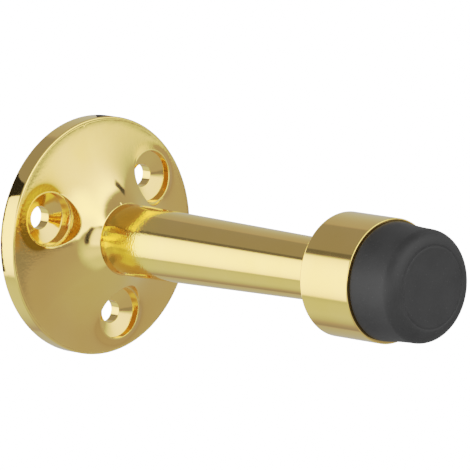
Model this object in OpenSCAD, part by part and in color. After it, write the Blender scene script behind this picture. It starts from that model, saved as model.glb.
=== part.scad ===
// Wall-mounted projection door stop: a brass rose with three screw holes, a tapered
// stem, and a brass cup that holds a rubber buffer for the door to meet.
// The wall is the plane y = 0, the stem points along -Y, and +Z is up.
// The origin is the centre of the back of the rose. Millimetres.

/* [Whole stop] */
// From the wall to the face of the buffer
projection = 76; // [62:1:110]

/* [Rose] */
// Diameter of the rose
rose_d = 38; // [36:1:60]
// Thickness of the rose at its rim
rim_t = 3.1; // [2.4:0.1:4.5]
// Rounding of the rim's front edge
rim_round = 0.3; // [0.1:0.1:0.8]
// Slope of the face where it leaves the rim, in degrees from the wall
face_slope = 1; // [0:0.5:6]
// Width of the straight band of the face, from the rim to where the hollow sweep starts
face_band = 0.4; // [0.4:0.1:4]
// Height of the neck, where the stem comes out
neck_h = 8.6; // [8:0.1:10]
// Width of the flat ring round the top of the neck
neck_lip = 0.2; // [0.1:0.1:0.6]
// Depth of the socket that the foot of the stem sits in
socket_depth = 1.8; // [1.2:0.1:2]

/* [Screw holes in the rose] */
// Number of screw holes
hole_count = 3; // [2:1:4]
// Direction of the first screw hole, in degrees from +X towards +Z
hole_angle = 42; // [0:1:119]
// From the rim of the rose to the middle of a screw hole
hole_inset = 6.1; // [5.6:0.1:7]
// Diameter of the hole for the wood screw
hole_d = 3.7; // [3:0.1:4.5]
// Length of the straight hole behind the screw head's seat
hole_land = 1.85; // [1.2:0.05:2.2]
// Depth of the cone that the screw head sits on
sink_depth = 0.75; // [0.3:0.05:1]
// Diameter of the well that is cut for the screw head
well_d = 8.2; // [7.4:0.1:8.6]
// Width of the narrow rim round the well
well_rim = 0.25; // [0.15:0.05:0.4]
// Height of the raised pad, measured on the axis of its hole
pad_h = 4.05; // [3.8:0.05:4.4]
// Tilt of the pad's top, which rises towards the neck, in degrees
pad_tilt = 6; // [0:1:9]

/* [Stem] */
// Diameter of the stem at its foot
stem_foot_d = 11.5; // [10:0.1:14]
// Diameter of the stem where it meets the cup
stem_tip_d = 9.4; // [8.8:0.1:12]
// Diameter of the spigot at the tip of the stem
spigot_d = 8; // [7:0.1:8.4]
// Length of the spigot, which enters the floor of the cup
spigot_len = 1.2; // [0.8:0.1:1.4]

/* [Cup] */
// Outside diameter of the cup
cup_d = 19.1; // [17.5:0.1:24]
// Length of the cup
cup_len = 10.1; // [8.8:0.1:14]
// Thickness of the cup's floor
cup_floor = 2.4; // [2.2:0.1:3.4]
// Thickness of the cup's wall
cup_wall = 1.2; // [1:0.1:1.6]
// Rounding of the cup's back edge
cup_round = 0.35; // [0.1:0.05:0.8]
// Width of the groove that keeps the buffer in
groove_w = 1.8; // [1.2:0.1:2.4]
// Depth of the groove in the wall
groove_depth = 0.5; // [0.3:0.05:0.6]

/* [Rubber buffer] */
// Length of the buffer in front of the cup
buffer_out = 8.6; // [7:0.1:12]
// Width of the cup's rim that the buffer's shoulder leaves bare
rim_bare = 0.4; // [0.3:0.05:0.7]
// Thickness of the shoulder that covers the cup's rim
shoulder_t = 1.5; // [1:0.1:2.2]
// Step in from the shoulder to the nose
shoulder_step = 0.3; // [0.2:0.05:0.6]
// How much the nose narrows on each side towards its face
nose_taper = 0.25; // [0:0.05:0.8]
// Rounding of the edge round the face
nose_round = 2; // [1:0.1:3]

/* [Fixing screws inside] */
// Thread diameter of the screw behind the rose
stem_screw_d = 5; // [4:0.5:6]
// Length of that screw under its head
stem_screw_len = 14; // [12:1:20]
// Thread diameter of the screw inside the cup
cup_screw_d = 4; // [3:0.5:4]
// Length of that screw under its head
cup_screw_len = 10; // [8:1:14]

/* [Fits] */
// Gap between a turned spigot or foot and its socket, on each side
seat_gap = 0.04; // [0.02:0.01:0.08]
// Gap between a screw and the hole that it passes or is tapped into, on each side
thread_gap = 0.03; // [0.02:0.01:0.08]
// Gap between the rubber and the cup, on each side
rubber_gap = 0.05; // [0.02:0.01:0.1]
// Gap round and in front of a screw head
head_room = 0.3; // [0.2:0.05:0.5]

/* [Hidden] */
$fn = 96;
past = 1;                        // how far a cut runs past the surface that it opens

brass = "#d8b665";
steel = "#b9bcc0";
rubber = "#2e2e31";

// Cheese-head screws: the head is in proportion to the thread
stem_head_d = 1.7 * stem_screw_d;
stem_head_h = 0.66 * stem_screw_d;
cup_head_d = 1.75 * cup_screw_d;
cup_head_h = 0.65 * cup_screw_d;
slot_w = 1.2;
slot_share = 0.42;               // depth of the driver slot as a share of the head
drill_tip = 118;                 // angle of the cone that a drill leaves

// Washers
lock_washer_t = 1.2;
lock_washer_d = stem_screw_d + 4.2;
lock_gap = 0.8;                  // width of the split in the lock washer
washer_t = 0.8;
washer_d = cup_screw_d + 5;

// Rose, from the wall forwards
rose_r = rose_d / 2;
foot_r = stem_foot_d / 2;
socket_r = foot_r + seat_gap;
neck_r = socket_r + neck_lip;
socket_floor = neck_h - socket_depth;
pocket_depth = stem_head_h + lock_washer_t + head_room;
pocket_r = lock_washer_d / 2 + 3 * head_room;
hole_ring_r = rose_r - hole_inset;
pad_r = well_d / 2 + well_rim;
pad_foot_r = hole_inset - rim_round / 2;
pad_fall = 0.55;                 // how far the pad's flank falls from rim to foot
pad_flare = 1.1;                 // how much wider the cut over the pad is at its far end

// Stem and cup, from the wall forwards
cup_back = projection - buffer_out - cup_len;
cup_rim = cup_back + cup_len;
cup_seat = cup_back + cup_floor;
stem_tip = cup_back + spigot_len - seat_gap;
stem_hole_end = pocket_depth - lock_washer_t + stem_screw_len + 2;
cup_head_seat = cup_seat + washer_t;
tip_hole_start = cup_head_seat - cup_screw_len - 2;
bore_r = cup_d / 2 - cup_wall;
groove_mid = (cup_seat + cup_rim) / 2 + head_room;

// Buffer
plug_r = bore_r - rubber_gap;
shoulder_r = cup_d / 2 - rim_bare;
nose_r = shoulder_r - shoulder_step;
face_r = nose_r - nose_taper;
relief_r = washer_d / 2 + head_room;
relief_end = cup_head_seat + cup_head_h + head_room;

function unit(v) = v / norm(v);

// Stands a shape that is drawn along +Z on the wall, so that it points along -Y
module along_stem() {
    rotate([90, 0, 0]) children();
}

// What a rounding of radius r takes off the corner v between the points a and b
module corner_waste(a, v, b, r) {
    to_a = unit(a - v);
    to_b = unit(b - v);
    half = acos(to_a * to_b) / 2;
    middle = unit(to_a + to_b);
    centre = v + middle * r / sin(half);
    run = r / tan(half);
    difference() {
        polygon([v + to_a * run, v - middle * r, v + to_b * run, centre]);
        translate(centre) circle(r);
    }
}

// Outline of the rose: a straight band of face, then a hollow arc up to the neck.
// The arc leaves the band without a corner, and its radius makes it meet the neck.
module rose_outline() {
    rim = [rose_r, rim_t];
    neck = [neck_r, neck_h];
    along = [-cos(face_slope), sin(face_slope)];
    off = [sin(face_slope), cos(face_slope)];
    start = rim + face_band * along;
    rise = neck - start;
    sweep_r = rise * rise / (2 * rise * off);
    difference() {
        polygon([[0, 0], [rose_r, 0], rim, start, neck, [0, neck_h]]);
        translate(start + sweep_r * off) circle(sweep_r, $fn = 192);
        corner_waste([rose_r, 0], rim, rim + along, rim_round);
    }
}

module at_holes() {
    for (i = [0 : hole_count - 1])
        rotate([0, 0, hole_angle + i * 360 / hole_count])
            translate([hole_ring_r, 0, 0]) children();
}

// Puts a shape on the axis of a screw hole, in the tilted plane of the pad's top
module on_pad_top() {
    translate([0, 0, pad_h]) rotate([0, pad_tilt, 0]) children();
}

// A low cone whose top is the pad round a screw hole, tilted up towards the neck
module pad() {
    on_pad_top() rotate_extrude()
        polygon([[0, -pad_h / 2], [pad_foot_r, -pad_h / 2], [pad_foot_r, -pad_fall],
                 [pad_r, 0], [0, 0]]);
}

// What is cut away over the pad, where the face of the rose rises past it
module pad_clearance() {
    on_pad_top() cylinder(r1 = pad_r, r2 = pad_r + pad_flare, h = neck_h);
}

// A screw hole: straight hole, cone for the head, and the well above it
module screw_hole() {
    cone_top = hole_land + sink_depth;
    translate([0, 0, -past]) cylinder(d = hole_d, h = hole_land + 2 * past);
    translate([0, 0, hole_land]) cylinder(d1 = hole_d, d2 = well_d, h = sink_depth);
    translate([0, 0, cone_top]) cylinder(d = well_d, h = neck_h);
}

// Cast and turned rose with its three screw holes, the socket for the stem in front
// and the pocket for the fixing screw behind
module rose() {
    color(brass) along_stem() difference() {
        union() {
            rotate_extrude($fn = 192) rose_outline();
            intersection() {
                at_holes() pad();
                cylinder(r = rose_r, h = neck_h);
            }
        }
        at_holes() pad_clearance();
        at_holes() screw_hole();
        translate([0, 0, socket_floor]) cylinder(r = socket_r, h = socket_depth + past);
        translate([0, 0, -past]) cylinder(r = pocket_r, h = pocket_depth + past);
        cylinder(r = stem_screw_d / 2 + thread_gap, h = neck_h);
    }
}

// Solid tapered stem: its foot fills the rose's socket, and its spigot enters the cup
module stem() {
    tap_r = stem_screw_d / 2 + thread_gap;
    tip_tap_r = cup_screw_d / 2 + thread_gap;
    color(brass) along_stem() difference() {
        rotate_extrude()
            polygon([[0, socket_floor], [foot_r, socket_floor], [foot_r, neck_h],
                     [stem_tip_d / 2, cup_back], [spigot_d / 2, cup_back],
                     [spigot_d / 2, stem_tip], [0, stem_tip]]);
        translate([0, 0, socket_floor - past])
            cylinder(r = tap_r, h = stem_hole_end - socket_floor + past);
        translate([0, 0, stem_hole_end])
            cylinder(r1 = tap_r, r2 = 0, h = tap_r / tan(drill_tip / 2));
        translate([0, 0, tip_hole_start])
            cylinder(r = tip_tap_r, h = stem_tip - tip_hole_start + past);
        translate([0, 0, tip_hole_start - tip_tap_r / tan(drill_tip / 2)])
            cylinder(r1 = 0, r2 = tip_tap_r, h = tip_tap_r / tan(drill_tip / 2));
    }
}

// A cheese-head screw with its head below z = 0 and its shank along +Z
module cheese_screw(d, len, head_d, head_h) {
    difference() {
        union() {
            translate([0, 0, -head_h]) cylinder(d = head_d, h = head_h);
            cylinder(d = d, h = len);
        }
        translate([-head_d, -slot_w / 2, -head_h - past])
            cube([2 * head_d, slot_w, slot_share * head_h + past]);
    }
}

// Screw from behind the rose into the foot of the stem
module stem_screw() {
    color(steel) along_stem() translate([0, 0, pocket_depth - lock_washer_t])
        cheese_screw(stem_screw_d, stem_screw_len, stem_head_d, stem_head_h);
}

// Split lock washer, drawn flat as it is under the tightened head
module stem_lock_washer() {
    color(steel) along_stem() translate([0, 0, pocket_depth - lock_washer_t])
        difference() {
            cylinder(d = lock_washer_d, h = lock_washer_t);
            translate([0, 0, -past])
                cylinder(d = stem_screw_d + 4 * thread_gap, h = lock_washer_t + 2 * past);
            translate([0, -lock_gap / 2, -past])
                cube([lock_washer_d, lock_gap, lock_washer_t + 2 * past]);
        }
}

// Turned brass cup: a recess behind for the spigot, a bore in front for the buffer
module buffer_cup() {
    corner = [cup_d / 2, cup_back];
    color(brass) along_stem() difference() {
        rotate_extrude() difference() {
            translate([0, cup_back]) square([cup_d / 2, cup_len]);
            corner_waste([0, cup_back], corner, [cup_d / 2, cup_rim], cup_round);
        }
        translate([0, 0, cup_back - past])
            cylinder(r = spigot_d / 2 + seat_gap, h = spigot_len + past);
        cylinder(r = cup_screw_d / 2 + thread_gap, h = cup_rim);
        translate([0, 0, cup_seat]) cylinder(r = bore_r, h = cup_len);
        translate([0, 0, groove_mid - groove_w / 2])
            cylinder(r = bore_r + groove_depth, h = groove_w);
    }
}

// Screw through the floor of the cup into the tip of the stem
module cup_screw() {
    color(steel) along_stem() translate([0, 0, cup_head_seat]) mirror([0, 0, 1])
        cheese_screw(cup_screw_d, cup_screw_len, cup_head_d, cup_head_h);
}

// Flat washer between that screw's head and the floor of the cup
module cup_washer() {
    color(steel) along_stem() translate([0, 0, cup_seat]) difference() {
        cylinder(d = washer_d, h = washer_t);
        translate([0, 0, -past])
            cylinder(d = cup_screw_d + 4 * thread_gap, h = washer_t + 2 * past);
    }
}

// Outline of the buffer: plug, bead, shoulder over the cup's rim, and rounded nose
module buffer_outline() {
    bead_w = groove_w - 2 * rubber_gap;
    bead_r = bore_r + groove_depth - rubber_gap;
    face = [face_r, projection];
    shoulder_top = cup_rim + shoulder_t;
    difference() {
        union() {
            polygon([[0, cup_seat], [plug_r, cup_seat], [plug_r, cup_rim],
                     [shoulder_r, cup_rim], [shoulder_r, shoulder_top],
                     [nose_r, shoulder_top], face, [0, projection]]);
            translate([0, groove_mid - bead_w / 2]) square([bead_r, bead_w]);
        }
        corner_waste([nose_r, shoulder_top], face, [0, projection], nose_round);
        corner_waste([shoulder_r, cup_rim], [shoulder_r, shoulder_top],
                     [nose_r, shoulder_top], shoulder_step * 0.9);
        translate([0, cup_seat - past]) square([relief_r, relief_end - cup_seat + past]);
    }
}

// Moulded rubber buffer: its bead snaps into the cup's groove
module buffer() {
    color(rubber) along_stem() rotate_extrude() buffer_outline();
}

rose();
stem();
stem_screw();
stem_lock_washer();
buffer_cup();
cup_screw();
cup_washer();
buffer();
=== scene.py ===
import math

import bmesh
import bpy
import numpy as np
from mathutils import Matrix


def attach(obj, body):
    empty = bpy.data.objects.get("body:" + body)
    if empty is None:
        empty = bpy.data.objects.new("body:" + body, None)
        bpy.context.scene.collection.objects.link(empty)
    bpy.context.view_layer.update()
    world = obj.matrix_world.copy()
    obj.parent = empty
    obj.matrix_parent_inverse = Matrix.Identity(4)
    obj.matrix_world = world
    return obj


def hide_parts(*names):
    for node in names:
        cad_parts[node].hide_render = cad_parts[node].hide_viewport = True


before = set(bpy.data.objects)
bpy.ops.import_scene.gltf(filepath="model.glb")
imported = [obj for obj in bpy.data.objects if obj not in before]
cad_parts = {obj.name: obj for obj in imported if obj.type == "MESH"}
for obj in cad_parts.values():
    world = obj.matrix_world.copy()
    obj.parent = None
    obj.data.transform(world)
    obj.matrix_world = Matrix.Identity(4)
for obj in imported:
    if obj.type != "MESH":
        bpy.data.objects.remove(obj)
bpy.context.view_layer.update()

# Rose: the round base that screws to the wall. It is cast in yellow brass, turned on its
# back, rim and socket, drilled and counterbored for three wood screws, then polished and
# lacquered. Each screw hole opens in a raised pad whose flank is left as it was cast. There, and
# in the wells, the brass is also painted a deeper gold that stands in for brass reflected in these
# hollows.
ROSE_R = 19.0
RIM_T = 3.1
RIM_ROUND = 0.3
BACK_ROUND = 0.22
FACE_SLOPE = math.radians(1)
FACE_BAND = 0.4
NECK_R = 5.99
NECK_H = 8.6
SOCKET_R = 5.755
NECK_EDGE_R = 5.765
SOCKET_FLOOR = 6.8
POCKET_R = 5.5
POCKET_DEPTH = 4.8
CLEARANCE_R = 2.53
HOLES = 3
HOLE_ANGLE = math.radians(42)
HOLE_RING_R = 12.9
HOLE_R = 1.85
LAND_T = 1.85
CONE_TOP = 2.6
WELL_R = 4.1
WELL_LIP = 0.09
PAD_R = 4.35
PAD_H = 4.05
PAD_TILT = math.radians(6)
PAD_FLANK = 0.46
CAST_WALL = 7.0
# The cast-skin mask also carries a painted deep gold on the flanks and in the wells, and this share scales
# both on each pad.
CAST_LEFT = (0.3, 1.0, 0.3)  # share of the cast skin that polishing left on each pad
HOLE_EDGE_R = HOLE_R + 0.12
POCKET_EDGE_R = POCKET_R + 0.1
WELL_FLOOR = CONE_TOP + 0.06
ROUND_SHARE = 0.98


def on_stop(across, turn, out):
    """Points of the stop in metres. across is the distance from the stem's axis, turn the
    angle round it from +X towards +Z, and out the distance from the wall, in millimetres."""
    return np.stack([across * np.cos(turn), -out + 0 * turn, across * np.sin(turn)], -1) / 1000


def turned_line(corners, rounds, step=0.5):
    """Outline for the lathe through the corners (across, out), each rounded by an arc of
    its own radius, with a guard point close to both ends of each arc and long runs divided
    by step, so that shading stays true up to the edge."""
    corners = np.array(corners, float)
    ends = [corners[0]]
    for back, here, ahead, round_r in zip(corners[:-2], corners[1:-1], corners[2:], rounds):
        to_back = (back - here) / np.linalg.norm(back - here)
        to_ahead = (ahead - here) / np.linalg.norm(ahead - here)
        half = math.acos(float(np.clip(to_back @ to_ahead, -1, 1))) / 2
        run = round_r / math.tan(half)
        middle = (to_back + to_ahead) / np.linalg.norm(to_back + to_ahead)
        centre = here + middle * round_r / math.sin(half)
        first = here + to_back * run - centre
        last = here + to_ahead * run - centre
        sweep = math.atan2(first[0] * last[1] - first[1] * last[0], first @ last)
        part = np.linspace(0, 1, 7)[:, None] * sweep
        arc = centre + first * np.cos(part) + np.array([-first[1], first[0]]) * np.sin(part)
        guard = min(0.03, round_r / 3)
        ends += [arc[0] + to_back * guard, *arc, arc[-1] + to_ahead * guard]
    ends.append(corners[-1])
    line = [ends[0][None]]
    for start, stop in zip(ends[:-1], ends[1:]):
        pieces = max(1, math.ceil(np.linalg.norm(stop - start) / step))
        line.append(start + (stop - start) * np.linspace(0, 1, pieces + 1)[1:, None])
    return np.concatenate(line)


def turned(line, turns, from_turn=0.0):
    """A lathe surface: the outline (across, out) carried once round the stem's axis."""
    turn = from_turn + np.linspace(0, 2 * math.pi, turns + 1)
    return on_stop(line[:, :1], turn[None], line[:, 1:])


def shell(name, sheets, body="root", masks=None):
    """One closed mesh from grids of points. Each grid's rows and columns become a sheet of
    quads, the sheets are welded where they meet, and the faces are turned outwards."""
    points, quads, marks, used = [], [], [], 0
    for number, sheet in enumerate(sheets):
        rows, columns = sheet.shape[:2]
        index = used + np.arange(rows * columns).reshape(rows, columns)
        corners = [index[:-1, :-1], index[1:, :-1], index[1:, 1:], index[:-1, 1:]]
        quads.append(np.stack(corners, -1).reshape(-1, 4))
        points.append(sheet.reshape(-1, 3))
        marks.append(np.zeros(rows * columns) if masks is None else masks[number].ravel())
        used += rows * columns
    mesh = bpy.data.meshes.new(name)
    mesh.from_pydata(np.concatenate(points), [], np.concatenate(quads))
    cast = mesh.attributes.new("cast_skin_and_painted_gold", "FLOAT", "POINT")
    cast.data.foreach_set("value", np.concatenate(marks).astype(np.float32))
    work = bmesh.new()
    work.from_mesh(mesh)
    bmesh.ops.remove_doubles(work, verts=work.verts, dist=2e-6)
    bmesh.ops.dissolve_degenerate(work, edges=work.edges, dist=1e-7)
    bmesh.ops.recalc_face_normals(work, faces=work.faces)
    work.to_mesh(mesh)
    work.free()
    mesh.polygons.foreach_set("use_smooth", np.ones(len(mesh.polygons), bool))
    piece = bpy.data.objects.new(name, mesh)
    bpy.context.scene.collection.objects.link(piece)
    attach(piece, body)
    return piece


def face_height(across):
    """Distance of the rose's face from the wall: a straight band at the rim, then a hollow
    arc that leaves the band without a corner and ends at the neck."""
    along = np.array([-math.cos(FACE_SLOPE), math.sin(FACE_SLOPE)])
    off = np.array([math.sin(FACE_SLOPE), math.cos(FACE_SLOPE)])
    start = np.array([ROSE_R, RIM_T]) + FACE_BAND * along
    rise = np.array([NECK_R, NECK_H]) - start
    sweep_r = rise @ rise / (2 * rise @ off)
    centre = start + sweep_r * off
    band = RIM_T + (ROSE_R - across) * math.tan(FACE_SLOPE)
    hollow = centre[1] - np.sqrt(np.maximum(sweep_r**2 - (across - centre[0]) ** 2, 0))
    return np.where(across > start[0], band, hollow)


def sector_edge(inner_r, outer_r):
    """Outline of the third of the rose that belongs to one screw hole, in the hole's own
    turn: along the outer arc, in along one side, back along the inner arc, out again."""
    half = math.pi / HOLES
    outer = np.linspace(-half, half, 97)[:-1]
    inner = np.linspace(half, -half, 41)[:-1]
    side = np.linspace(outer_r, inner_r, 31)[:-1]
    across = np.concatenate([outer_r + 0 * outer, side, inner_r + 0 * inner, (inner_r + outer_r - side)])
    turn = np.concatenate([outer, half + 0 * side, inner, -half + 0 * side])
    return np.append(across, across[0]), np.append(turn, turn[0])


def pad_plane(east):
    """Height of the pad's flat top, which rises towards the neck."""
    return PAD_H - math.tan(PAD_TILT) * (east - HOLE_RING_R)


def softer(a, b, soft, sign):
    """The larger (sign 1) or smaller (sign -1) of two heights, with a rounded crossing."""
    return 0.5 * (a + b + sign * np.sqrt((a - b) ** 2 + soft**2))


def rose_sheets():
    """Sheets and masks of the rose. The masks mark the cast skin on each pad's flank and wall,
    which is partly real rough skin and partly a painted deep gold for the face reflected in these
    hollows. They also mark a little painted deep gold on the well walls. Round each hole, a grid
    runs from the pad's lip out to the edge of its sector. Its height is the face, held between the
    pad's falling flank and the steep cast wall that rises where the face is above the pad."""
    sheets, masks = [], []
    front_across, front_turn = sector_edge(NECK_EDGE_R, ROSE_R - RIM_ROUND)
    back_across, back_turn = sector_edge(POCKET_EDGE_R, ROSE_R - BACK_ROUND)
    east = front_across * np.cos(front_turn) - HOLE_RING_R
    north = front_across * np.sin(front_turn)
    bearing = np.arctan2(north, east)[None]
    reach = np.hypot(east, north)[None]
    lip_r = WELL_R + WELL_LIP
    near = np.linspace(lip_r, PAD_R, 5)[:-1, None] + 0 * bearing
    share = np.linspace(0, 1, 62)[:, None] ** 1.9
    far = PAD_R + (reach - PAD_R) * share
    ring = np.concatenate([near, far])
    fade = np.concatenate([np.zeros((4, 1)), np.clip((share - 0.86) / 0.14, 0, 1)])
    fade = fade * fade * (3 - 2 * fade)
    away = np.maximum(ring - PAD_R, 0)
    across_east = HOLE_RING_R + ring * np.cos(bearing)
    across_north = ring * np.sin(bearing)
    face = face_height(np.hypot(across_east, across_north))
    pad = pad_plane(across_east)
    soft = 0.16 * np.clip(away / 0.3, 0, 1)
    height = softer(face, pad + CAST_WALL * away, soft, -1)
    height = softer(height, pad - PAD_FLANK * away, soft, 1)
    height = height * (1 - fade) + face * fade
    # Cast skin on the pad's flank and wall. Its mask gives real rough skin and also a painted deep gold,
    # which stands in for the face reflected in these hollows.
    flank = np.clip((height - face) / 0.05, 0, 1)
    wall = np.clip((face - height) / 0.12, 0, 1)
    skin = np.clip(flank + wall, 0, 1) * np.clip(away / 0.06, 0, 1)

    edge = pad_plane(HOLE_RING_R + lip_r * np.cos(bearing))
    lip_part = np.linspace(0, math.pi / 2, 5)[:, None]
    lip_ring = lip_r - WELL_LIP * np.sin(lip_part) + 0 * bearing
    lip_out = edge - WELL_LIP * (1 - np.cos(lip_part))
    down = np.array([0, 0.02, 0.25, 0.5, 0.75, 0.98, 1])[:, None]
    wall_out = (edge - WELL_LIP) * (1 - down) + WELL_FLOOR * down
    seat = turned_line(
        [(WELL_R, WELL_FLOOR), (WELL_R, CONE_TOP), (HOLE_R, LAND_T), (HOLE_R, 0), (HOLE_EDGE_R, 0)],
        [0.05, 0.05, 0.1],
    )
    liner_ring = np.concatenate([lip_ring, WELL_R + 0 * wall_out, seat[:, :1] + 0 * bearing])
    liner_out = np.concatenate([lip_out, wall_out, seat[:, 1:] + 0 * bearing])
    # Painted reflection: the well walls get a little of the deep gold, standing in for the brass reflected
    # inside the well.
    well_painted_gold = np.clip((liner_out - CONE_TOP - 0.1) / 0.1, 0, 1) * 0.12

    back_share = np.linspace(0, 1, 9)[:, None]
    back_east = (HOLE_RING_R + HOLE_EDGE_R * np.cos(bearing)) * (1 - back_share)
    back_east = back_east + back_share * back_across * np.cos(back_turn)
    back_north = HOLE_EDGE_R * np.sin(bearing) * (1 - back_share)
    back_north = back_north + back_share * back_across * np.sin(back_turn)

    liner_east = HOLE_RING_R + liner_ring * np.cos(bearing)
    liner_north = liner_ring * np.sin(bearing)
    for number in range(HOLES):
        turn = HOLE_ANGLE + number * 2 * math.pi / HOLES
        for e, n, out, mask in [
            (across_east, across_north, height, skin),
            (liner_east, liner_north, liner_out, well_painted_gold),
            (back_east, back_north, 0 * back_east, 0 * back_east),
        ]:
            sheets.append(on_stop(np.hypot(e, n), turn + np.arctan2(n, e), out))
            masks.append(mask * CAST_LEFT[number])
    rim = turned_line(
        [(ROSE_R - RIM_ROUND, float(face_height(ROSE_R - RIM_ROUND))), (ROSE_R, RIM_T),
         (ROSE_R, 0), (ROSE_R - BACK_ROUND, 0)],
        [RIM_ROUND * ROUND_SHARE, BACK_ROUND * ROUND_SHARE],
    )
    neck_top = float(face_height(NECK_EDGE_R))
    bore = turned_line(
        [(NECK_EDGE_R, neck_top), (SOCKET_R, neck_top), (SOCKET_R, SOCKET_FLOOR),
         (CLEARANCE_R, SOCKET_FLOOR), (CLEARANCE_R, POCKET_DEPTH), (POCKET_R, POCKET_DEPTH),
         (POCKET_R, 0), (POCKET_EDGE_R, 0)],
        [0.003, 0.1, 0.1, 0.1, 0.1, 0.08],
    )
    from_turn = HOLE_ANGLE - math.pi / HOLES
    sheets += [turned(rim, 96 * HOLES, from_turn), turned(bore, 40 * HOLES, from_turn)]
    masks += [np.zeros(sheets[-2].shape[:2]), np.zeros(sheets[-1].shape[:2])]
    return sheets, masks


def new_group(name, inputs, outputs):
    """An empty shader group with named inputs and outputs, given as (name, kind, value)."""
    group = bpy.data.node_groups.new(name, "ShaderNodeTree")
    for way, sockets in (("INPUT", inputs), ("OUTPUT", outputs)):
        for label, kind, value in sockets:
            socket = group.interface.new_socket(label, in_out=way, socket_type="NodeSocket" + kind)
            if value is not None:
                socket.default_value = value
    return group, group.nodes.new("NodeGroupInput"), group.nodes.new("NodeGroupOutput")


def add(tree, kind, feeds=(), **settings):
    """A node of that kind, with its settings, and its inputs fed by links or values."""
    node = tree.nodes.new("ShaderNode" + kind)
    for setting, value in settings.items():
        setattr(node, setting, value)
    for socket, value in dict(feeds).items():
        if isinstance(value, bpy.types.NodeSocket):
            tree.links.new(value, node.inputs[socket])
        else:
            node.inputs[socket].default_value = value
    return node


def ripple_group():
    """Orange peel and fine polishing marks: a slow noise whose waves are a millimetre or
    so apart, and a fast one a tenth of that, added up as a height from 0 to 1."""
    group, inward, outward = new_group(
        "polish_ripple",
        [("Point", "Vector", None), ("Waves per metre", "Float", 900.0), ("Fine share", "Float", 0.1)],
        [("Height", "Float", None)],
    )
    slow = add(group, "TexNoise", {"Vector": inward.outputs[0], "Scale": inward.outputs[1], "Detail": 1.5})
    quick = add(group, "Math", {0: inward.outputs[1], 1: 9.0}, operation="MULTIPLY")
    fine = add(group, "TexNoise", {"Vector": inward.outputs[0], "Scale": quick.outputs[0], "Detail": 2.0})
    total = add(
        group, "Math", {0: fine.outputs[0], 1: inward.outputs[2], 2: slow.outputs[0]},
        operation="MULTIPLY_ADD",
    )
    group.links.new(total.outputs[0], outward.inputs[0])
    return group


def tone_group():
    """Cloudy change in colour and gloss over a polished piece, with a few dull specks
    where the lacquer has caught dust."""
    group, inward, outward = new_group(
        "polish_tone",
        [("Point", "Vector", None), ("Pale", "Color", (1, 1, 1, 1)), ("Deep", "Color", (1, 1, 1, 1)),
         ("Sleek", "Float", 0.06), ("Hazy", "Float", 0.12)],
        [("Colour", "Color", None), ("Roughness", "Float", None)],
    )
    cloud = add(group, "TexNoise", {"Vector": inward.outputs[0], "Scale": 140.0, "Detail": 4.0})
    shade = add(group, "MapRange", {"Value": cloud.outputs[0], "From Min": 0.3, "From Max": 0.7})
    colour = group.nodes.new("ShaderNodeMix")
    colour.data_type = "RGBA"
    group.links.new(shade.outputs[0], colour.inputs[0])
    group.links.new(inward.outputs[1], colour.inputs[6])
    group.links.new(inward.outputs[2], colour.inputs[7])
    haze = add(group, "TexNoise", {"Vector": inward.outputs[0], "Scale": 420.0, "Detail": 5.0})
    gloss = add(
        group, "MapRange",
        {"Value": haze.outputs[0], "From Min": 0.35, "From Max": 0.75, "To Min": inward.outputs[3],
         "To Max": inward.outputs[4]},
    )
    specks = add(group, "TexVoronoi", {"Vector": inward.outputs[0], "Scale": 700.0})
    dust = add(
        group, "MapRange",
        {"Value": specks.outputs[0], "From Min": 0.05, "From Max": 0.09, "To Min": 0.12, "To Max": 0.0},
    )
    rough = add(group, "Math", {0: gloss.outputs[0], 1: dust.outputs[0]}, operation="ADD")
    group.links.new(colour.outputs[2], outward.inputs[0])
    group.links.new(rough.outputs[0], outward.inputs[1])
    return group


POLISH_RIPPLE = ripple_group()
POLISH_TONE = tone_group()


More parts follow.
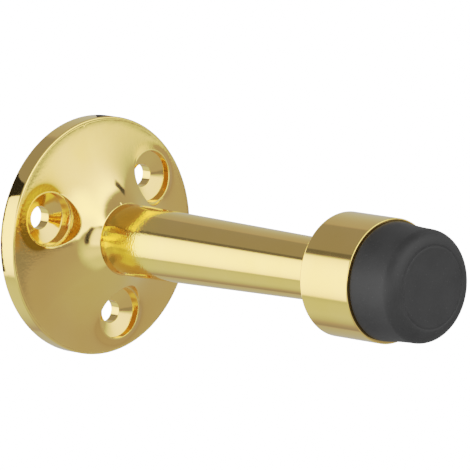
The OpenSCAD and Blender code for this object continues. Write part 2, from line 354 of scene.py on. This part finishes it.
def polished_brass(name, peel, waves, peel_from, peel_to, painted_reflection_share=0.0):
    """Polished yellow brass under thin lacquer, with the lathe's rings on the rose's back. The
    orange peel is peel metres deep near the wall, with that many waves a metre, and fades out
    between the distances peel_from and peel_to. Where it is deepest, the brass is also painted
    yellower by the given share, as a painted reflection of the gold rose in the piece."""
    brass = bpy.data.materials.new(name)
    brass.use_nodes = True
    tree = brass.node_tree
    tree.nodes.clear()
    place = add(tree, "TexCoord")
    tone = add(tree, "Group", node_tree=POLISH_TONE)
    tree.links.new(place.outputs["Object"], tone.inputs["Point"])
    tone.inputs["Pale"].default_value = (0.915, 0.638, 0.222, 1)
    tone.inputs["Deep"].default_value = (0.895, 0.617, 0.19, 1)
    tone.inputs["Sleek"].default_value = 0.055
    tone.inputs["Hazy"].default_value = 0.1
    ripple = add(tree, "Group", node_tree=POLISH_RIPPLE)
    tree.links.new(place.outputs["Object"], ripple.inputs["Point"])
    ripple.inputs["Waves per metre"].default_value = waves
    ripple.inputs["Fine share"].default_value = 0.12
    apart = add(tree, "SeparateXYZ", {0: place.outputs["Object"]})
    cast = add(tree, "Attribute", attribute_name="cast_skin_and_painted_gold")
    near = add(
        tree, "MapRange",
        {"Value": apart.outputs[1], "From Min": -peel_to, "From Max": -peel_from,
         "To Min": 0.06, "To Max": 1.0},
    )
    peeled = add(tree, "Math", {0: ripple.outputs[0], 1: near.outputs[0]}, operation="MULTIPLY")
    grit = add(tree, "TexNoise", {"Vector": place.outputs["Object"], "Scale": 2300.0, "Detail": 3.0})
    rough_cast = add(tree, "Math", {0: grit.outputs[0], 1: cast.outputs["Fac"]}, operation="MULTIPLY")
    sand = add(
        tree, "Math", {0: rough_cast.outputs[0], 1: 14.0, 2: peeled.outputs[0]},
        operation="MULTIPLY_ADD",
    )
    back = add(
        tree, "MapRange", {"Value": apart.outputs[1], "From Min": -0.00012, "From Max": -0.00003}
    )
    rings = add(
        tree, "TexWave", {"Vector": place.outputs["Object"], "Scale": 1050.0, "Distortion": 0.4},
        wave_type="RINGS", rings_direction="Y",
    )
    cut = add(tree, "Math", {0: rings.outputs["Fac"], 1: back.outputs[0]}, operation="MULTIPLY")
    surface = add(
        tree, "Math", {0: cut.outputs[0], 1: 0.5, 2: sand.outputs[0]}, operation="MULTIPLY_ADD"
    )
    bump = add(tree, "Bump", {"Height": surface.outputs[0], "Distance": peel, "Strength": 1.0})
    satin = add(
        tree, "Math", {0: back.outputs[0], 1: 0.3, 2: tone.outputs["Roughness"]},
        operation="MULTIPLY_ADD",
    )
    dull = add(
        tree, "Math", {0: cast.outputs["Fac"], 1: 0.14, 2: satin.outputs[0]},
        operation="MULTIPLY_ADD",
    )
    # Where the cast-skin mask is set, the brass turns a dark deep gold. On the pad flanks this is partly
    # the skin's own colour and partly a painted reflection. On the well walls it is only a painted
    # reflection.
    colour = tree.nodes.new("ShaderNodeMix")
    colour.data_type = "RGBA"
    colour.inputs[7].default_value = (0.37, 0.185, 0.014, 1)
    tree.links.new(cast.outputs["Fac"], colour.inputs[0])
    # Painted reflection: near the wall the brass is tinted yellower by the given share, standing in for
    # the gold of the rose reflected in the stem.
    painted_reflection_tint = tree.nodes.new("ShaderNodeMix")
    painted_reflection_tint.data_type = "RGBA"
    painted_reflection_tint.inputs[7].default_value = (0.89, 0.68, 0.16, 1)
    painted_reflection_amount = add(tree, "Math", {0: near.outputs[0], 1: painted_reflection_share}, operation="MULTIPLY")
    tree.links.new(painted_reflection_amount.outputs[0], painted_reflection_tint.inputs[0])
    tree.links.new(tone.outputs["Colour"], painted_reflection_tint.inputs[6])
    tree.links.new(painted_reflection_tint.outputs[2], colour.inputs[6])
    shader = add(
        tree, "BsdfPrincipled",
        {"Base Color": colour.outputs[2], "Metallic": 1.0, "Roughness": dull.outputs[0],
         "Normal": bump.outputs[0]},
    )
    shown = add(tree, "OutputMaterial", {0: shader.outputs[0]})
    shown.is_active_output = True
    return brass


rose_sheet_list, rose_masks = rose_sheets()
rose = shell("rose_casting", rose_sheet_list, masks=rose_masks)
rose.data.materials.append(polished_brass("polished_brass_rose", 6e-6, 1100.0, 0.004, 0.0085))
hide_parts("rose")

# Stem: a solid brass bar, turned to a slight taper. Its foot sits in the rose's socket and
# its spigot enters the cup. It is tapped at both ends for the two fixing screws.
FOOT_R = 5.75
TIP_R = 4.7
CUP_BACK = 57.3
SPIGOT_R = 4.0
STEM_END = 58.46
FOOT_HOLE_END = 19.6
TIP_TAP_R = 2.03
TIP_HOLE_START = 48.5
DRILL_RISE = 0.6
stem_line = turned_line(
    [(0, FOOT_HOLE_END + CLEARANCE_R * DRILL_RISE), (CLEARANCE_R, FOOT_HOLE_END),
     (CLEARANCE_R, SOCKET_FLOOR), (FOOT_R, SOCKET_FLOOR), (FOOT_R, NECK_H), (TIP_R, CUP_BACK),
     (SPIGOT_R, CUP_BACK), (SPIGOT_R, STEM_END), (TIP_TAP_R, STEM_END),
     (TIP_TAP_R, TIP_HOLE_START), (0, TIP_HOLE_START - TIP_TAP_R * DRILL_RISE)],
    [0.1, 0.15, 0.15, 1.0, 0.06, 0.06, 0.15, 0.12, 0.1],
    step=1.2,
)
stem = shell("stem_bar", [turned(stem_line, 180)])
# The stem is painted yellower near the rose, for the gold reflection of the rose in it.
stem.data.materials.append(
    polished_brass("polished_brass_stem", 1.6e-5, 2900.0, 0.014, 0.022, painted_reflection_share=0.8)
)
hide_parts("stem")

# Cup: a short turned brass cup, screwed to the stem's tip from inside. A groove in its
# bore keeps the rubber buffer in, and its front rim is left as a thin bright ring.
CUP_R = 9.55
CUP_RIM = 67.4
CUP_SEAT = 59.7
CUP_BORE_R = 8.35
CUP_GROOVE_R = 8.85
GROOVE_MID = 63.85
GROOVE_HALF = 0.9
CUP_HOLE_R = 2.03
RECESS_R = 4.04
RECESS_END = 58.5
CUP_FLOOR_MID = 59.0
cup_line = turned_line(
    [(CUP_HOLE_R, CUP_FLOOR_MID), (CUP_HOLE_R, RECESS_END), (RECESS_R, RECESS_END),
     (RECESS_R, CUP_BACK), (CUP_R, CUP_BACK), (CUP_R, CUP_RIM), (CUP_BORE_R, CUP_RIM),
     (CUP_BORE_R, GROOVE_MID + GROOVE_HALF), (CUP_GROOVE_R, GROOVE_MID + GROOVE_HALF),
     (CUP_GROOVE_R, GROOVE_MID - GROOVE_HALF), (CUP_BORE_R, GROOVE_MID - GROOVE_HALF),
     (CUP_BORE_R, CUP_SEAT), (CUP_HOLE_R, CUP_SEAT), (CUP_HOLE_R, CUP_FLOOR_MID)],
    [0.05, 0.1, 0.08, 0.35, 0.16, 0.12, 0.05, 0.05, 0.05, 0.05, 0.1, 0.05],
    step=1.0,
)
cup = shell("buffer_cup_turned", [turned(cup_line, 240)])
cup.data.materials.append(polished_brass("polished_brass_cup", 2.5e-6, 1100.0, 0.004, 0.0085))
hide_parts("buffer_cup")

# Buffer: one piece of moulded black rubber. Its bead snaps into the cup's groove, its
# shoulder covers the cup's rim, and the nose narrows slightly to a rounded flat face that
# still shows the faint ring of the mould's insert.
PLUG_R = 8.3
BEAD_R = 8.8
BEAD_HALF = 0.85
SHOULDER_R = 9.15
SHOULDER_TUCK = 0.25
NOSE_R = 8.85
FACE_EDGE_R = 8.6
FACE_OUT = 76.0
NOSE_ROUND = 2.1
RELIEF_R = 4.8
RELIEF_END = 63.4
RING_R = 6.55


def buffer_line():
    """Outline of the buffer. The shoulder rounds over within a millimetre, then sweeps in
    hollow to the tapering nose; the face has a shallow ring and dishes very slightly."""
    inner = turned_line(
        [(0, RELIEF_END), (RELIEF_R, RELIEF_END), (RELIEF_R, CUP_SEAT), (PLUG_R, CUP_SEAT),
         (PLUG_R, GROOVE_MID - BEAD_HALF), (BEAD_R, GROOVE_MID - BEAD_HALF),
         (BEAD_R, GROOVE_MID + BEAD_HALF), (PLUG_R, GROOVE_MID + BEAD_HALF), (PLUG_R, CUP_RIM),
         (SHOULDER_R - SHOULDER_TUCK, CUP_RIM)],
        [0.3, 0.3, 0.3, 0.1, 0.3, 0.3, 0.1, 0.08],
    )
    out = np.linspace(0, FACE_OUT - NOSE_ROUND - CUP_RIM, 48)
    taper = NOSE_R + (FACE_EDGE_R - NOSE_R) * out / (FACE_OUT - CUP_RIM)
    swell = (SHOULDER_R - NOSE_R) / (1 + np.exp((out - 1.9) / 0.9))
    tuck = SHOULDER_TUCK * np.clip(1 - out / 0.3, 0, 1) ** 2
    side = np.stack([taper + swell - tuck, CUP_RIM + out], -1)
    edge = np.linspace(0, math.pi / 2, 28)[1:]
    last = side[-1, 0]
    rounded = np.stack(
        [last - NOSE_ROUND * (1 - np.cos(edge)), FACE_OUT - NOSE_ROUND + NOSE_ROUND * np.sin(edge)], -1
    )
    flat = np.linspace(last - NOSE_ROUND, 0, 60)[1:]
    ring = 0.09 * np.exp(-(((flat - RING_R + 0.25) / 0.13) ** 2))
    dish = 0.03 * np.clip(1 - flat / RING_R, 0, 1)
    face = np.stack([flat, FACE_OUT - ring - dish], -1)
    return np.concatenate([inner, side[1:], rounded, face])


def moulded_rubber():
    """Matt black rubber: a fine moulded grain, slightly paler cloudy patches, and specks of
    dust."""
    rubber = bpy.data.materials.new("moulded_rubber")
    rubber.use_nodes = True
    tree = rubber.node_tree
    tree.nodes.clear()
    place = add(tree, "TexCoord")
    cloud = add(tree, "TexNoise", {"Vector": place.outputs["Object"], "Scale": 260.0, "Detail": 5.0})
    tint = add(tree, "ValToRGB", {0: cloud.outputs[0]})
    tint.color_ramp.elements[0].position = 0.3
    tint.color_ramp.elements[0].color = (0.0175, 0.0175, 0.0177, 1)
    tint.color_ramp.elements[1].position = 0.75
    tint.color_ramp.elements[1].color = (0.027, 0.027, 0.0272, 1)
    specks = add(tree, "TexVoronoi", {"Vector": place.outputs["Object"], "Scale": 1500.0})
    dust = add(
        tree, "MapRange",
        {"Value": specks.outputs[0], "From Min": 0.06, "From Max": 0.14, "To Min": 0.35, "To Max": 0.0},
    )
    colour = tree.nodes.new("ShaderNodeMix")
    colour.data_type = "RGBA"
    colour.inputs[7].default_value = (0.10, 0.10, 0.10, 1)
    tree.links.new(dust.outputs[0], colour.inputs[0])
    tree.links.new(tint.outputs[0], colour.inputs[6])
    grain = add(tree, "TexNoise", {"Vector": place.outputs["Object"], "Scale": 4200.0, "Detail": 3.0})
    bump = add(tree, "Bump", {"Height": grain.outputs[0], "Distance": 3e-5, "Strength": 0.5})
    rough = add(
        tree, "MapRange",
        {"Value": cloud.outputs[0], "From Min": 0.3, "From Max": 0.7, "To Min": 0.47, "To Max": 0.62},
    )
    shader = add(
        tree, "BsdfPrincipled",
        {"Base Color": colour.outputs[2], "Roughness": rough.outputs[0], "Normal": bump.outputs[0],
         "Specular IOR Level": 0.35},
    )
    add(tree, "OutputMaterial", {0: shader.outputs[0]})
    return rubber


buffer = shell("buffer_moulding", [turned(buffer_line(), 192)])
buffer.data.materials.append(moulded_rubber())
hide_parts("buffer")

# Fixing screws and washers: zinc-plated steel, bought in. One screw with a split washer
# holds the stem from behind the rose, the other with a flat washer holds the cup.


def zinc_plated_steel():
    """Bright zinc on steel: a cool grey metal with a faint spangle and uneven gloss."""
    zinc = bpy.data.materials.new("zinc_plated_steel")
    zinc.use_nodes = True
    tree = zinc.node_tree
    tree.nodes.clear()
    place = add(tree, "TexCoord")
    tone = add(tree, "Group", node_tree=POLISH_TONE)
    tree.links.new(place.outputs["Object"], tone.inputs["Point"])
    tone.inputs["Pale"].default_value = (0.66, 0.67, 0.69, 1)
    tone.inputs["Deep"].default_value = (0.55, 0.57, 0.60, 1)
    tone.inputs["Sleek"].default_value = 0.22
    tone.inputs["Hazy"].default_value = 0.38
    ripple = add(tree, "Group", node_tree=POLISH_RIPPLE)
    tree.links.new(place.outputs["Object"], ripple.inputs["Point"])
    ripple.inputs["Waves per metre"].default_value = 2600.0
    bump = add(tree, "Bump", {"Height": ripple.outputs[0], "Distance": 8e-6, "Strength": 1.0})
    shader = add(
        tree, "BsdfPrincipled",
        {"Base Color": tone.outputs["Colour"], "Metallic": 1.0, "Roughness": tone.outputs["Roughness"],
         "Normal": bump.outputs[0]},
    )
    add(tree, "OutputMaterial", {0: shader.outputs[0]})
    return zinc


zinc = zinc_plated_steel()
for fixing in ("stem_screw", "stem_lock_washer", "cup_screw", "cup_washer"):
    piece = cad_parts[fixing]
    piece.data.materials.clear()
    piece.data.materials.append(zinc)

# Floor: a plain pale sheet well below the stop. The camera sees it evenly white, and it is
# left out of reflections and bounced light.
FLOOR_Z = -0.3
FLOOR_R = 3.0
WHITE = 3.2
FLOOR_SIDES = 64
floor_turn = np.linspace(0, 2 * math.pi, FLOOR_SIDES + 1)[:-1]
floor_edge = np.stack(
    [FLOOR_R * np.cos(floor_turn), FLOOR_R * np.sin(floor_turn), FLOOR_Z + 0 * floor_turn], -1
)
floor_mesh = bpy.data.meshes.new("floor")
floor_mesh.from_pydata(floor_edge, [], [list(range(FLOOR_SIDES))])
floor = bpy.data.objects.new("floor", floor_mesh)
bpy.context.scene.collection.objects.link(floor)
floor.visible_glossy = False
floor.visible_diffuse = False
pale = bpy.data.materials.new("pale_floor")
pale.use_nodes = True
pale.node_tree.nodes.clear()
seen = add(pale.node_tree, "LightPath")
matt = add(pale.node_tree, "BsdfDiffuse", {"Color": (0.62, 0.61, 0.59, 1)})
white = add(pale.node_tree, "Emission", {"Color": (1, 1, 1, 1), "Strength": WHITE})
either = add(
    pale.node_tree, "MixShader",
    {0: seen.outputs["Is Camera Ray"], 1: matt.outputs[0], 2: white.outputs[0]},
)
add(pale.node_tree, "OutputMaterial", {0: either.outputs[0]})
floor_mesh.materials.append(pale)

# Black cards: small cards held just behind the rose, out of sight, so that the bright rim
# has dark edges in it and stands out from the white.
CARD_BEHIND = 3.0
SIDE_CARD_IN = 20.2
SIDE_CARD_LOW = 1.9
SIDE_CARD_RISE = 3.4
SIDE_CARD_PEAK = 148.5
side_turn = np.radians(np.linspace(141, 196, 56))[None]
side_peak = np.clip(1.5 - np.abs(np.degrees(side_turn) - SIDE_CARD_PEAK) / 4, 0, 1)
side_width = SIDE_CARD_LOW + SIDE_CARD_RISE * side_peak
side_across = np.linspace(0, 1, 2)[:, None] * side_width + SIDE_CARD_IN
top_turn = np.radians(np.linspace(60, 78, 12))[None]
top_across = np.array([17.5, 22.0])[:, None]
for name, across, turn in (
    ("side_card", side_across, side_turn), ("top_card", top_across, top_turn)
):
    card_points = on_stop(across, turn, 0 * across * turn - CARD_BEHIND)
    columns = card_points.shape[1]
    step = np.arange(columns - 1)
    card_mesh = bpy.data.meshes.new(name)
    card_mesh.from_pydata(
        card_points.reshape(-1, 3), [],
        np.stack([step, step + 1, step + 1 + columns, step + columns], -1),
    )
    card = bpy.data.objects.new(name, card_mesh)
    bpy.context.scene.collection.objects.link(card)
    card.visible_camera = False
    card.visible_shadow = False
    card.visible_diffuse = False
    black = bpy.data.materials.new(name)
    black.use_nodes = True
    black.node_tree.nodes.clear()
    felt = add(black.node_tree, "BsdfDiffuse", {"Color": (0.02, 0.02, 0.02, 1)})
    add(black.node_tree, "OutputMaterial", {0: felt.outputs[0]})
    card_mesh.materials.append(black)

# Light: three softboxes in a pale room. The key is wide, in front and above, to the right of
# the camera; a smaller one is to its left, and the third is behind the wall to the left. They
# have dark frames at some edges and spill a soft glow beside them.
DIM_FROM = 2.6
DIM_POWER = 0.78
world = bpy.data.worlds.new("soft_studio")
bpy.context.scene.world = world
world.use_nodes = True
sky = world.node_tree
sky.nodes.clear()


def panel_group():
    """A flat rectangular panel seen from afar. The direction is divided by its share along
    the panel's facing, which gives how far across and up it meets the panel, in tangents;
    the mask falls from 1 to 0 over the blur at each edge."""
    group, inward, outward = new_group(
        "panel",
        [("Direction", "Vector", None), ("Facing", "Vector", None), ("Across", "Vector", None),
         ("Up", "Vector", None), ("Half width", "Float", 1.0), ("Half height", "Float", 1.0),
         ("Side blur", "Float", 0.05), ("End blur", "Float", 0.05)],
        [("Mask", "Float", None), ("Across", "Float", None), ("Up", "Float", None)],
    )
    dots = [
        add(group, "VectorMath", {0: inward.outputs[0], 1: inward.outputs[k]}, operation="DOT_PRODUCT")
        for k in (1, 2, 3)
    ]
    facing = add(group, "Math", {0: dots[0].outputs["Value"], 1: 0.001}, operation="MAXIMUM")
    masks = []
    for k, (half, blur) in enumerate(((4, 6), (5, 7)), 1):
        where = add(
            group, "Math", {0: dots[k].outputs["Value"], 1: facing.outputs[0]}, operation="DIVIDE"
        )
        share = add(group, "Math", {0: where.outputs[0], 1: inward.outputs[half]}, operation="DIVIDE")
        group.links.new(share.outputs[0], outward.inputs[k])
        size = add(group, "Math", {0: where.outputs[0]}, operation="ABSOLUTE")
        inside = add(group, "Math", {0: inward.outputs[half], 1: size.outputs[0]}, operation="SUBTRACT")
        masks.append(
            add(
                group, "MapRange",
                {"Value": inside.outputs[0], "From Min": 0.0, "From Max": inward.outputs[blur]},
                interpolation_type="SMOOTHSTEP",
            )
        )
    both = add(group, "Math", {0: masks[0].outputs[0], 1: masks[1].outputs[0]}, operation="MULTIPLY")
    group.links.new(both.outputs[0], outward.inputs[0])
    return group


PANEL = panel_group()
looking = add(sky, "TexCoord").outputs["Generated"]


def panel(azimuth, elevation, left, right, low, high, side_blur, end_blur):
    """A panel round the direction at azimuth (0 is -Y, 90 is +X) and elevation, with its
    edges that many degrees to each side, as the group node."""
    a, e = math.radians(azimuth), math.radians(elevation)
    a_mid = a + math.radians((right - left) / 2)
    e_mid = e + math.radians((high - low) / 2)
    node = add(sky, "Group", node_tree=PANEL)
    facing = (math.sin(a_mid) * math.cos(e_mid), -math.cos(a_mid) * math.cos(e_mid), math.sin(e_mid))
    across = (math.cos(a_mid), math.sin(a_mid), 0)
    up = (-math.sin(a_mid) * math.sin(e_mid), math.cos(a_mid) * math.sin(e_mid), math.cos(e_mid))
    for label, value in (("Facing", facing), ("Across", across), ("Up", up)):
        node.inputs[label].default_value = value
    sky.links.new(looking, node.inputs["Direction"])
    node.inputs["Half width"].default_value = math.tan(math.radians((left + right) / 2))
    node.inputs["Half height"].default_value = math.tan(math.radians((low + high) / 2))
    node.inputs["Side blur"].default_value = side_blur
    node.inputs["End blur"].default_value = end_blur
    return node


def ramp(value, stops):
    """Straight lines between (place, level) stops, as a float curve of the value."""
    first, last = stops[0][0], stops[-1][0]
    spread = add(sky, "MapRange", {"Value": value, "From Min": first, "From Max": last})
    top = max(level for _, level in stops)
    curve = add(sky, "FloatCurve", {"Value": spread.outputs[0]})
    line = curve.mapping.curves[0]
    for place, level in stops[1:-1]:
        line.points.new((place - first) / (last - first), level / top)
    line.points[0].location = (0, stops[0][1] / top)
    line.points[-1].location = (1, stops[-1][1] / top)
    curve.mapping.update()
    return add(sky, "Math", {0: curve.outputs[0], 1: top}, operation="MULTIPLY").outputs[0]


def over(below, mask, level):
    """The level where the mask is 1, and what is below it where the mask is 0."""
    node = add(sky, "Mix", {0: mask})
    for socket, value in ((2, below), (3, level)):
        if isinstance(value, bpy.types.NodeSocket):
            sky.links.new(value, node.inputs[socket])
        else:
            node.inputs[socket].default_value = value
    return node.outputs[0]


def glow(below, mask, level):
    """What is below, with the level added as far as the mask goes."""
    node = add(sky, "Math", {0: mask, 1: level, 2: below}, operation="MULTIPLY_ADD")
    return node.outputs[0]


heading = add(sky, "SeparateXYZ", {0: looking})
room = ramp(
    heading.outputs[2],
    [(-1, 0.7), (-0.6, 0.66), (-0.35, 0.6), (-0.1, 0.62), (0.3, 0.68), (0.6, 0.6), (1, 0.5)],
)

# Left softbox and what it spills, then the dark frame under the key and its corner.
left = panel(-64, 4, 24, 27, 24, 26, 0.16, 0.25)
room = over(room, left.outputs["Mask"], 4.2)
left_spill = panel(-58, -26, 30, 30, 18, 16, 0.3, 0.3)
room = glow(room, left_spill.outputs["Mask"], 0.8)
lower_frame = panel(8, -9, 34, 32, 5, 4, 0.1, 0.05)
room = over(room, lower_frame.outputs["Mask"], 0.38)
corner = panel(43, -7, 4, 4, 3, 3, 0.02, 0.02)
room = over(room, corner.outputs["Mask"], 0.06)

# Key softbox, brightest at its top and falling off to the right, with its glow and its hot
# spot, a dark patch at its right end and the dark frame between it and the left softbox.
key = panel(16, 22, 52, 48, 29, 37, 0.14, 0.16)
key_rise = ramp(
    key.outputs["Up"],
    [(-1, 4.0), (-0.4, 4.2), (0.15, 4.6), (0.45, 6.4), (0.75, 9.5), (1, 9.5)],
)
key_side = ramp(
    key.outputs["Across"],
    [(-1, 2.0), (-0.6, 1.3), (-0.2, 1.0), (0.3, 0.85), (0.6, 0.5), (0.8, 0.28), (1, 0.12)],
)
key_level = add(sky, "Math", {0: key_rise, 1: key_side}, operation="MULTIPLY").outputs[0]
room = over(room, key.outputs["Mask"], key_level)
low_glow = panel(-41, -16, 19, 15, 52, 16, 0.2, 0.3)
room = glow(room, low_glow.outputs["Mask"], 0.75)
hot = panel(-14, 33, 18, 26, 20, 17, 0.33, 0.33)
room = glow(room, hot.outputs["Mask"], 6.0)
shade = panel(67, 40, 9, 9, 4, 4, 0.06, 0.04)
room = over(room, shade.outputs["Mask"], 0.1)
left_frame = panel(-38.5, 3, 3.2, 3.2, 17, 21, 0.03, 0.12)
room = over(room, left_frame.outputs["Mask"], 0.06)

# Behind to the left: a dim field, a low glow, the softbox and the dark frame above it.
rear = panel(-139, 0, 60, 60, 72, 72, 0.3, 0.3)
room = over(room, rear.outputs["Mask"], 0.4)
rear_glow = panel(-139, -30, 60, 60, 30, 12, 0.3, 0.3)
room = glow(room, rear_glow.outputs["Mask"], 0.8)
rear_box = panel(-139, 0, 60, 60, 28, 27, 0.3, 0.05)
rear_box_level = ramp(rear_box.outputs["Up"], [(-1, 1.5), (0, 8.0), (1, 2.5)])
room = over(room, rear_box.outputs["Mask"], rear_box_level)
rear_frame = panel(-139, 30, 60, 60, 3, 3, 0.3, 0.02)
room = over(room, rear_frame.outputs["Mask"], 0.2)

# The softboxes are dimmed so that the brightest is only a few times brighter than the room.
dimming = add(sky, "Math", {0: room, 1: 1 / DIM_FROM, 2: 1.0}, operation="MULTIPLY_ADD")
dimmed = add(sky, "Math", {0: dimming.outputs[0], 1: DIM_POWER}, operation="POWER")
level = add(sky, "Math", {0: room, 1: dimmed.outputs[0]}, operation="DIVIDE")
from_camera = add(sky, "LightPath").outputs["Is Camera Ray"]
light = add(sky, "Background", {"Strength": over(level.outputs[0], from_camera, WHITE)})
light.inputs["Color"].default_value = (1, 1, 1, 1)
add(sky, "OutputWorld", {0: light.outputs[0]})

# Exposure: straight up to the middle tones, then a long shoulder that turns the brightest
# reflections in the brass to cream, as film does.
exposure = bpy.context.scene.view_settings
exposure.view_transform = "Standard"
exposure.use_curve_mapping = True
shoulder = exposure.curve_mapping
shoulder.white_level = (WHITE, WHITE, WHITE)
response = shoulder.curves[3]
for scene_level, shown_level in [(0.3, 0.3), (0.45, 0.44), (0.8, 0.58), (1.6, 0.8), (2.4, 0.92)]:
    response.points.new(scene_level / WHITE, shown_level)
shoulder.update()

# Camera: a long lens in front of the wall and to the left, a little above the stop. It aims
# at the middle of the stop's length, a few millimetres to the left of it and above it.
CAMERA_AZIMUTH = math.radians(-43.741)
CAMERA_HEIGHT = math.radians(8.48)
CAMERA_AWAY = 0.836
LENS = 415.6
AIM_OUT = 0.038
AIM_LEFT = 0.00318
AIM_UP = 0.003815
back = np.array(
    [math.sin(CAMERA_AZIMUTH) * math.cos(CAMERA_HEIGHT),
     -math.cos(CAMERA_AZIMUTH) * math.cos(CAMERA_HEIGHT), math.sin(CAMERA_HEIGHT)]
)
right = np.array([math.cos(CAMERA_AZIMUTH), math.sin(CAMERA_AZIMUTH), 0])
above = np.cross(back, right)
aim = np.array([0, -AIM_OUT, 0]) - right * AIM_LEFT + above * AIM_UP
eye = aim + back * CAMERA_AWAY
camera_data = bpy.data.cameras.new("camera")
camera_data.lens = LENS
camera_data.sensor_width = 36
camera_data.clip_start = 0.05
camera_data.clip_end = 50
camera = bpy.data.objects.new("camera", camera_data)
bpy.context.scene.collection.objects.link(camera)
camera.matrix_world = Matrix(np.vstack([np.column_stack([right, above, back, eye]), [0, 0, 0, 1]]))
bpy.context.scene.camera = camera
